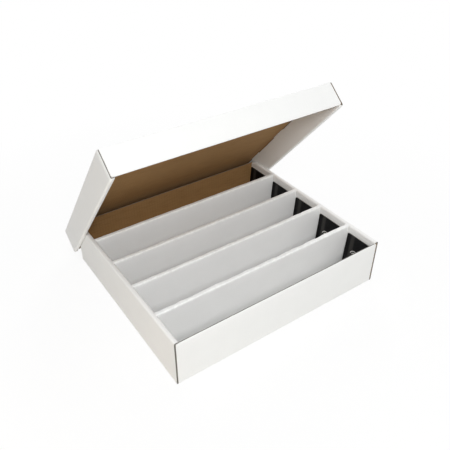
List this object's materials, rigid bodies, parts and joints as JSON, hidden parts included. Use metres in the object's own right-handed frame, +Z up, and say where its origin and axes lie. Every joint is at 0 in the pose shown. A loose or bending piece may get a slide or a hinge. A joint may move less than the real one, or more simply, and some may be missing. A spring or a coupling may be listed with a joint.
{
  "type": "card storage box",
  "caption": "Flat white corrugated card box: open tray with a pleated insert making long rows, and a loose lift-off lid tipped open behind it.",
  "frame": {"origin": "middle of the tray's underside, on the surface it stands on", "axes": "+X to the right along the card rows, +Y to the rear, +Z up"},
  "size_m": [0.4788, 0.4565, 0.3606],
  "materials": {
    "tray_board": "white-faced corrugated board, kraft brown inside",
    "lid_board": "white-faced corrugated board, kraft brown inside",
    "insert_board": "white-faced corrugated board, folded",
    "card": "black coated card, satin"
  },
  "bodies": {
    "tray": {"tray_floor": "tray_board", "tray_front_wall": "tray_board", "tray_rear_wall": "tray_board", "tray_left_outer_wall": "tray_board", "tray_left_rolled_wall": "tray_board", "tray_front_left_ear": "tray_board", "tray_rear_left_ear": "tray_board", "tray_right_outer_wall": "tray_board", "tray_right_rolled_wall": "tray_board", "tray_front_right_ear": "tray_board", "tray_rear_right_ear": "tray_board", "divider_1": "insert_board", "divider_2": "insert_board", "divider_3": "insert_board", "divider_4": "insert_board", "row_floor_1": "insert_board", "row_floor_2": "insert_board", "row_floor_3": "insert_board", "row_floor_4": "insert_board", "row_floor_5": "insert_board"},
    "lid": {"lid_panel": "lid_board", "lid_front_flap": "lid_board", "lid_rear_flap": "lid_board", "lid_left_outer_flap": "lid_board", "lid_left_rolled_flap": "lid_board", "lid_front_left_ear": "lid_board", "lid_rear_left_ear": "lid_board", "lid_right_outer_flap": "lid_board", "lid_right_rolled_flap": "lid_board", "lid_front_right_ear": "lid_board", "lid_rear_right_ear": "lid_board"},
    "card_1": {"row_card_1": "card"},
    "card_2": {"row_card_2": "card"},
    "card_3": {"row_card_3": "card"},
    "card_4": {"row_card_4": "card"},
    "card_5": {"row_card_5": "card"}
  },
  "joints": [
    {"name": "lid_swing", "type": "hinge", "parent": "tray", "child": "lid", "pos_m": [0, 0.16624, 0.02177], "axis": [-1, 0, 0], "range_deg": [-49.2, 0]},
    {"name": "card_slide_1", "type": "slide", "parent": "tray", "child": "card_1", "axis": [-1, 0, 0], "range_m": [0, 0.43]},
    {"name": "card_slide_2", "type": "slide", "parent": "tray", "child": "card_2", "axis": [-1, 0, 0], "range_m": [0, 0.43]},
    {"name": "card_slide_3", "type": "slide", "parent": "tray", "child": "card_3", "axis": [-1, 0, 0], "range_m": [0, 0.43]},
    {"name": "card_slide_4", "type": "slide", "parent": "tray", "child": "card_4", "axis": [-1, 0, 0], "range_m": [0, 0.43]},
    {"name": "card_slide_5", "type": "slide", "parent": "tray", "child": "card_5", "axis": [-1, 0, 0], "range_m": [0, 0.43]}
  ]
}
